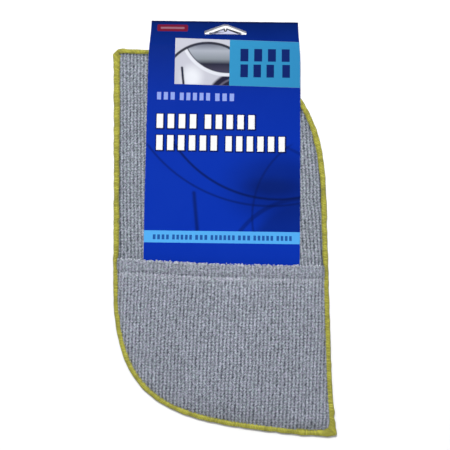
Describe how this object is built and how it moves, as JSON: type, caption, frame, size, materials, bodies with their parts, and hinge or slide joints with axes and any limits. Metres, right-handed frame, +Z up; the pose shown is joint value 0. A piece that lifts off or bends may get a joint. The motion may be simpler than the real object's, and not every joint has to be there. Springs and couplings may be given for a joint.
{
  "type": "wash mitt",
  "caption": "Leaf-shaped microfibre wash mitt with a hand pocket over its lower half, overlocked edges and a folded hang card tucked into the pocket.",
  "frame": {"origin": "on the surface that the mitt lies on, under the middle of the whole object's box", "axes": "+Y along the mitt towards the hang hole, +X across it to the right as seen from the pocket's side, +Z up out of the pocket's side"},
  "size_m": [0.16, 0.3089, 0.013],
  "materials": {
    "ribbed_cloth": "ribbed looped pile, matte",
    "overlock_thread": "textured polyester thread",
    "sewing_thread": "matte thread",
    "printed_board": "printed and varnished, satin",
    "plain_board": "unprinted, matte"
  },
  "bodies": {
    "mitt": {"back_panel": "ribbed_cloth", "pocket_panel": "ribbed_cloth", "overlock_left": "overlock_thread", "overlock_right": "overlock_thread", "overlock_left_needle": "overlock_thread", "overlock_right_needle": "overlock_thread", "hem_thread": "sewing_thread", "hem_bobbin_thread": "sewing_thread"},
    "card": {"card_front": "printed_board"},
    "rear_leaf": {"card_back": "printed_board"},
    "tab": {"hang_tab": "plain_board"}
  },
  "joints": [
    {"name": "card_slide", "type": "slide", "parent": "mitt", "child": "card", "axis": [0.0244, 0.9997, 0], "range_m": [0, 0.2]},
    {"name": "card_fold", "type": "hinge", "parent": "card", "child": "rear_leaf", "pos_m": [0.0044, 0.15335, 0.00055], "axis": [0.9997, -0.0244, 0], "range_deg": [0, 180]},
    {"name": "tab_crease", "type": "hinge", "parent": "card", "child": "tab", "pos_m": [0.00475, 0.14304, 0.00229], "axis": [0.9997, -0.0244, 0], "range_deg": [0, 90]}
  ]
}
